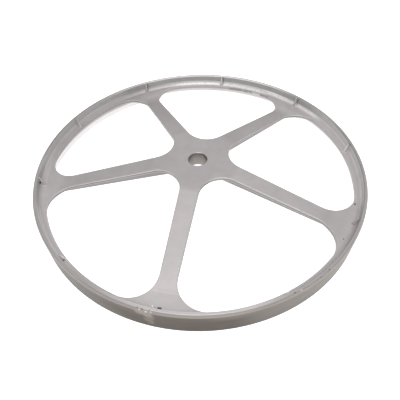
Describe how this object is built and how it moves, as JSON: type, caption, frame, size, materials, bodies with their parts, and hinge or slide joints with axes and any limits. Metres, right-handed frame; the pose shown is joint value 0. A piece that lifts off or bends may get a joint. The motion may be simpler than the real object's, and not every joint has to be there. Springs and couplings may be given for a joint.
{
  "type": "washing machine drum pulley",
  "caption": "Dished spoked belt wheel with a smooth belt track, an inner web ring, ribbed spokes and a plain central bore; turns an appliance drum.",
  "frame": {"origin": "on the wheel axis, in the plane of the rim's lower edge (bottom centre of the bounding box)", "axes": "+Z along the wheel axis towards the raised hub face, +Y along the centreline of one spoke, +X to the right of it"},
  "size_m": [0.296, 0.296, 0.0264],
  "materials": {
    "cast_aluminium": "satin as-cast, faint cloudy marks",
    "hub_face": "satin as-cast, a little darker",
    "belt_track": "satin, warm grey-brown, faint turning marks"
  },
  "bodies": {
    "root": {"belt_band": "belt_track", "web_ring": "cast_aluminium", "rim_rib_01": "cast_aluminium", "rim_rib_02": "cast_aluminium", "rim_rib_03": "cast_aluminium", "rim_rib_04": "cast_aluminium", "rim_rib_05": "cast_aluminium", "rim_rib_06": "cast_aluminium", "rim_rib_07": "cast_aluminium", "rim_rib_08": "cast_aluminium", "rim_rib_09": "cast_aluminium", "rim_rib_10": "cast_aluminium", "spoke_plate_1": "cast_aluminium", "spoke_plate_2": "cast_aluminium", "spoke_plate_3": "cast_aluminium", "spoke_plate_4": "cast_aluminium", "spoke_plate_5": "cast_aluminium", "spoke_rib_1": "cast_aluminium", "spoke_rib_2": "cast_aluminium", "spoke_rib_3": "cast_aluminium", "spoke_rib_4": "cast_aluminium", "spoke_rib_5": "cast_aluminium", "hub_plate": "hub_face", "hub_boss": "hub_face"}
  },
  "joints": []
}
